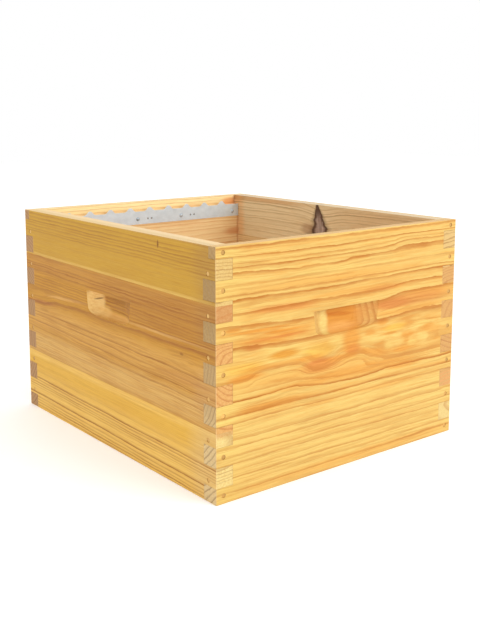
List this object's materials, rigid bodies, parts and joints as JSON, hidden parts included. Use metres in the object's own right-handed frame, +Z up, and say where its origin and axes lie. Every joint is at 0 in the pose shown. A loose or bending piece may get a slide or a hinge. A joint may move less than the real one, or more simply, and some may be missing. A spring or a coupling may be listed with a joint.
{
  "type": "hive body",
  "caption": "Open wooden box for hanging honeycomb frames: finger-jointed nailed pine panels, scooped handholds on the outside and notched steel frame rests inside.",
  "frame": {"origin": "centre of the bottom rim, on the surface that the box stands on", "axes": "+Z up, +Y from the front end panel to the back one along the frames, +X from the left side panel to the right one"},
  "size_m": [0.43, 0.5, 0.315],
  "materials": {
    "end_board": "planed flat-sawn pine with a satin wax coat",
    "pale_stave": "planed straight-grained pine, yellow, satin",
    "brown_stave": "planed straight-grained pine, tan brown, satin",
    "galvanised_steel": "galvanised sheet, dull",
    "rest_nail_steel": "zinc-plated, satin",
    "wire_nail_steel": "bare steel, dulled"
  },
  "bodies": {
    "root": {"front_end_panel": "end_board", "front_frame_rest": "galvanised_steel", "front_frame_rest_nails": "rest_nail_steel", "front_left_end_nails": "wire_nail_steel", "front_left_side_nails": "wire_nail_steel", "front_right_end_nails": "wire_nail_steel", "front_right_side_nails": "wire_nail_steel", "back_end_panel": "end_board", "back_frame_rest": "galvanised_steel", "back_frame_rest_nails": "rest_nail_steel", "back_left_end_nails": "wire_nail_steel", "back_left_side_nails": "wire_nail_steel", "back_right_end_nails": "wire_nail_steel", "back_right_side_nails": "wire_nail_steel", "left_side_top_stave": "pale_stave", "left_side_middle_stave": "brown_stave", "left_side_bottom_stave": "pale_stave", "right_side_top_stave": "pale_stave", "right_side_middle_stave": "brown_stave", "right_side_bottom_stave": "pale_stave"}
  },
  "joints": []
}
